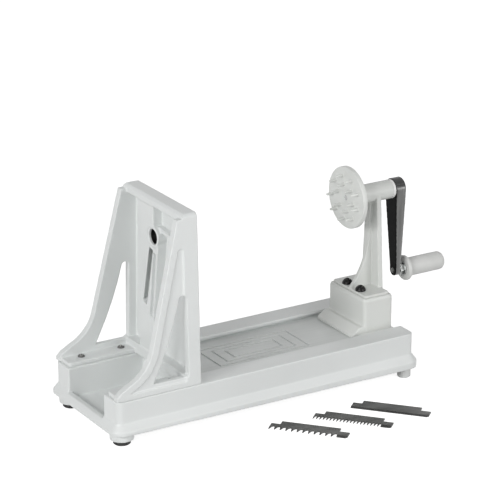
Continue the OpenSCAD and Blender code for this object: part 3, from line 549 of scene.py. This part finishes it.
disc = {"rim": 37.5, "thick": 6, "edge": 1.2, "backEdge": 0.6, "sink": 3.35, "bore": 1.6,
        "boss": 9.5, "bossLength": 9, "bossRoot": 1.5, "bossEdge": 0.4, "socket": 5.1, "floor": 1.5,
        "sides": 128, "crease": 35}
prong = {"root": 2.1, "tip": 1.47, "length": 9.5, "sunk": 0.4, "fillet": 0.7, "tipRound": 0.7,
         "sides": 24, "rings": ((9, 26.7, -4), (6, 16, 15))}  # how many, how far out, first one's turn
back = disc["thick"] + disc["bossLength"]
profile = [(disc["floor"], disc["socket"]), (disc["floor"], disc["bore"]), (0, disc["sink"])]
profile += bend(disc["edge"], disc["rim"] - disc["edge"], disc["edge"], 180, 90, 6)
profile += bend(disc["thick"] - disc["backEdge"], disc["rim"] - disc["backEdge"], disc["backEdge"],
                90, 0, 4)
profile += bend(disc["thick"] + disc["bossRoot"], disc["boss"] + disc["bossRoot"], disc["bossRoot"],
                180, 270, 5)
profile += bend(back - disc["bossEdge"], disc["boss"] - disc["bossEdge"], disc["bossEdge"], 90, 0, 3)
profile += [(back, disc["socket"]), (disc["floor"], disc["socket"])]
parts = [turned("prongDisc", profile, disc["sides"])]
rootRim = prong["root"] + prong["fillet"]
profile = [(prong["sunk"], 0), (prong["sunk"], rootRim)]
profile += bend(-prong["fillet"], rootRim, prong["fillet"], 0, -86, 5)
profile += bend(prong["tipRound"] - prong["length"], prong["tip"] - prong["tipRound"],
                prong["tipRound"], 96, 172, 5)
profile += [(-prong["length"], 0)]
master = turned("prong", profile, prong["sides"])
for count, ring, start in prong["rings"]:
    for i in range(count):
        turn = math.radians(start + i * 360 / count)
        twin = copyOf(master, "prongCopy")
        place(twin, (0, ring * mm * math.cos(turn), ring * mm * math.sin(turn)))
        parts.append(twin)
bpy.data.objects.remove(master)
piece = joinUp(parts, "prongDisc")
low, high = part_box("prong_disc")
place(piece, (high.x - back * mm, (low.y + high.y) / 2, (low.z + high.z) / 2))
smoothOff(piece, disc["crease"])
standFor(piece, discPlastic, "disc_plastic", "prong_disc")
print("disc done")

# pan-head screws with a cross recess, turned once for each size

screwForm = {"tip": 0.3, "edge": 0.15, "shoulder": 0.1, "domeSteps": 9, "sides": 48, "crease": 28,
             "wall": 0.2, "spare": 0.01, "floor": 0.02}


def panScrew(name, look, finishes):
    head = look["head"] / 2
    shank = look["shank"] / 2
    rise = look["rise"]
    domeRise = rise - look["skirt"]
    dome = (head * head + domeRise ** 2) / (2 * domeRise)
    reach = math.degrees(math.asin(head / dome))
    profile = [(-look["length"], 0), (-look["length"], shank - screwForm["tip"]),
               (screwForm["tip"] - look["length"], shank), (0, shank), (0, head - screwForm["edge"]),
               (screwForm["edge"], head), (look["skirt"] - screwForm["shoulder"], head)]
    for i in range(1, screwForm["domeSteps"] + 1):
        t = math.radians(reach * (1 - i / screwForm["domeSteps"]))
        profile.append((rise - dome + dome * math.cos(t), dome * math.sin(t)))
    piece = turned(name, profile, screwForm["sides"])
    socket = rise * look["socket"]
    for turn in (0, 90):  # two wings make the cross
        wing = (rise, look["crossWide"], look["crossLong"])
        carve(piece, blockAt(wing, (socket + rise / 2, 0, 0), turn))
    smoothOff(piece, screwForm["crease"])
    middles, normals = faceFacts(piece)
    along = middles[:, 0]
    fromAxis = np.hypot(middles[:, 1], middles[:, 2])
    # the recess walls and floor get bright steel: a painted highlight
    paintedGlint = (fromAxis < look["crossLong"] / 2 * mm) & (along > (socket - screwForm["spare"]) * mm)
    paintedGlint &= (abs(normals[:, 0]) < screwForm["wall"]) | (along < (socket + screwForm["floor"]) * mm)
    dress(piece, finishes, paintedGlint)
    return piece


def setScrews(name, look, finish):
    master = panScrew(name + "One", look, (finish, paintedGlintSteel))
    low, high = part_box(look["node"])
    level = high.z - look["rise"] * mm
    margin = look["head"] / 2 * mm
    rows = (low.x + margin, high.x - margin)[:look["rows"]]
    spots = [(x, y, level) for x in rows for y in (low.y + margin, high.y - margin)]
    twins = []
    for spot in spots:
        twin = copyOf(master, name)
        place(twin, (0, 0, 0), (math.radians(look["twist"]), 0, 0))
        place(twin, spot, (0, -math.pi / 2, 0))
        twins.append(twin)
    bpy.data.objects.remove(master)
    piece = joinUp(twins, name)
    standFor(piece, finish, look["slot"], look["node"])


postScrews = {"node": "post_screws", "slot": "black_screws", "rows": 1, "twist": 20,
              "head": 13, "rise": 6.5, "skirt": 1.2, "shank": 6, "length": 20,
              "socket": 0.5, "crossWide": 2.4, "crossLong": 7}
setScrews("postScrews", postScrews, blackScrews)
headScrews = {"node": "head_screws", "slot": "screw_steel", "rows": 2, "twist": 35,
              "head": 8.5, "rise": 2.72, "skirt": 0.6, "shank": 4, "length": 18,
              "socket": 0.45, "crossWide": 1.4, "crossLong": 4.8}
setScrews("headScrews", headScrews, screwSteel)
print("screws done")

# the loose blades: a bevel ground along the cutting edge, on the upper side

bladeShape = {"thick": 1.5, "tip": 0.35, "flat": 1, "beforeBack": 0.999, "upward": 0.5,
              "soften": 0.12, "softFrom": 50, "crease": 20,
              "grind": {"straight_blade": 3.2, "fine_comb_blade": 4.5, "coarse_comb_blade": 4.5}}
across = Vector((math.sin(bladeTurn), math.cos(bladeTurn), 0))  # from the edge towards the back
for nodeName, name in (("straight_blade", "straightBlade"), ("fine_comb_blade", "fineComb"),
                       ("coarse_comb_blade", "coarseComb")):
    piece = weldedCopy(nodeName, name)
    coords = np.empty(3 * len(piece.data.vertices))
    piece.data.vertices.foreach_get("co", coords)
    edge = min(Vector(c).dot(across) for c in coords.reshape(-1, 3))
    run = bladeShape["grind"][nodeName] * mm
    editAll(piece)
    bpy.ops.mesh.dissolve_limited(angle_limit=math.radians(bladeShape["flat"]))
    bpy.ops.mesh.select_all(action="SELECT")
    bpy.ops.mesh.bisect(plane_co=across * (edge + run), plane_no=across)
    bpy.ops.mesh.select_all(action="SELECT")
    bpy.ops.mesh.quads_convert_to_tris()
    bpy.ops.object.mode_set(mode="OBJECT")
    for vertex in piece.data.vertices:  # lower the top side down to the edge
        back = (vertex.co.dot(across) - edge) / run
        if vertex.co.z > bladeShape["thick"] / 2 * mm and back < bladeShape["beforeBack"]:
            vertex.co.z -= (bladeShape["thick"] - bladeShape["tip"]) * mm * (1 - max(back, 0))
    middles, normals = faceFacts(piece)
    ground = (normals[:, 2] > bladeShape["upward"]) & (middles @ np.array(across) < edge + run)
    dress(piece, (bladeSteel, groundSteel), ground)
    soft = piece.modifiers.new("soft", "BEVEL")
    soft.width = bladeShape["soften"] * mm
    soft.segments = 1
    soft.limit_method = "ANGLE"
    soft.angle_limit = math.radians(bladeShape["softFrom"])
    applyAll(piece)
    smoothOff(piece, bladeShape["crease"])
    standFor(piece, bladeSteel, "blade_steel", nodeName)
print("blades done")

# what keeps its CAD shape

plain = {
    "rubber_pads": blackRubber, "foot_studs": studPlastic, "clamp_screws": brightSteel,
    "core_cutter": cutterSteel, "front_bush": bushNylon, "rear_bush": bushNylon,
    "drive_shaft": brightSteel, "disc_screw": brightSteel, "crank_screw": screwSteel}
for nodeName, finish in plain.items():
    for slot in nodes[nodeName].material_slots:
        slot.material = finish
print("plain nodes dressed,", len(plain))

# the studio: a bright table under a dimmer room

studio = {"floorSize": 14, "floorTone": 0.6, "floorGlow": 0.85, "sky": 0.31, "aim": (0, 0, 0.1)}
bpy.ops.object.select_all(action="DESELECT")
bpy.ops.mesh.primitive_plane_add(size=studio["floorSize"], location=(0, 0, 0))
floor = bpy.context.object
floor.name = "floor"
floor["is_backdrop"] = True


def whereSeen(tree, strength):
    # full strength where the lens, a mirror or a clear piece looks at it, and none for plain light
    path = tree.nodes.new("ShaderNodeLightPath")
    seen = path.outputs["Is Camera Ray"]
    for name in ("Is Glossy Ray", "Is Transmission Ray"):
        node = tree.nodes.new("ShaderNodeMath")
        node.operation = "MAXIMUM"
        tree.links.new(seen, node.inputs[0])
        tree.links.new(path.outputs[name], node.inputs[1])
        seen = node.outputs[0]
    node = tree.nodes.new("ShaderNodeMath")
    node.operation = "MULTIPLY"
    node.inputs[1].default_value = strength
    tree.links.new(seen, node.inputs[0])
    return node.outputs[0]


paper = bpy.data.materials.new("paper_floor")
paper.use_nodes = True
tree = paper.node_tree
tree.nodes.remove(tree.nodes["Principled BSDF"])
matte = tree.nodes.new("ShaderNodeBsdfDiffuse")
matte.inputs["Color"].default_value = (studio["floorTone"],) * 3 + (1,)
glow = tree.nodes.new("ShaderNodeEmission")
tree.links.new(whereSeen(tree, studio["floorGlow"]), glow.inputs["Strength"])
both = tree.nodes.new("ShaderNodeAddShader")
tree.links.new(matte.outputs[0], both.inputs[0])
tree.links.new(glow.outputs[0], both.inputs[1])
tree.links.new(both.outputs[0], tree.nodes["Material Output"].inputs["Surface"])
floor.data.materials.append(paper)

world = bpy.data.worlds.new("studio")
world.use_nodes = True
bpy.context.scene.world = world
tree = world.node_tree
light = tree.nodes["Background"]
light.inputs["Color"].default_value = (1, 1, 1, 1)
light.inputs["Strength"].default_value = studio["sky"]
white = tree.nodes.new("ShaderNodeBackground")
white.inputs["Color"].default_value = (1, 1, 1, 1)
white.inputs["Strength"].default_value = 1
mix = tree.nodes.new("ShaderNodeMixShader")
tree.links.new(whereSeen(tree, 1), mix.inputs[0])
tree.links.new(light.outputs[0], mix.inputs[1])
tree.links.new(white.outputs[0], mix.inputs[2])
tree.links.new(mix.outputs[0], tree.nodes["World Output"].inputs["Surface"])
print("floor and sky ready")

softBoxes = {
    "keyBox": {"place": (-2.12, -0.62, 0.92), "size": 0.5, "power": 17},
    "turnBox": {"place": (-1.7, -1.3, 0.9), "size": 0.5, "power": 10},
    "frontBox": {"place": (0.9, -2.2, 0.6), "size": 1.4, "power": 20},
    "topLeft": {"place": (-0.7, 0.2, 1.9), "size": 0.05, "power": 0.6},
    "topRight": {"place": (0.9, 0.2, 1.9), "size": 0.05, "power": 0.6},
    "sideRight": {"place": (1.24, -1.25, 1.6), "size": 0.12, "power": 1.5}}
for name, box in softBoxes.items():
    lamp = bpy.data.lights.new(name, "AREA")
    lamp.shape = "SQUARE"
    lamp.size = box["size"]
    lamp.energy = box["power"]
    holder = bpy.data.objects.new(name, lamp)
    holder.location = box["place"]
    towards = Vector(studio["aim"]) - holder.location
    holder.rotation_euler = towards.to_track_quat("-Z", "Y").to_euler()
    bpy.context.scene.collection.objects.link(holder)

lens = {"place": (-1.3964, -2.1788, 1.1285), "look": (0.4919, 0.8001, -0.3432),
        "focal": 173.34, "sensor": 36}
camera = bpy.data.objects.new("camera", bpy.data.cameras.new("camera"))
camera.data.lens = lens["focal"]
camera.data.sensor_width = lens["sensor"]
camera.location = lens["place"]
camera.rotation_euler = Vector(lens["look"]).to_track_quat("-Z", "Y").to_euler()
bpy.context.scene.collection.objects.link(camera)
bpy.context.scene.camera = camera
bpy.context.scene.view_settings.view_transform = "Standard"
print("lamps and camera ready")

low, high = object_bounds()
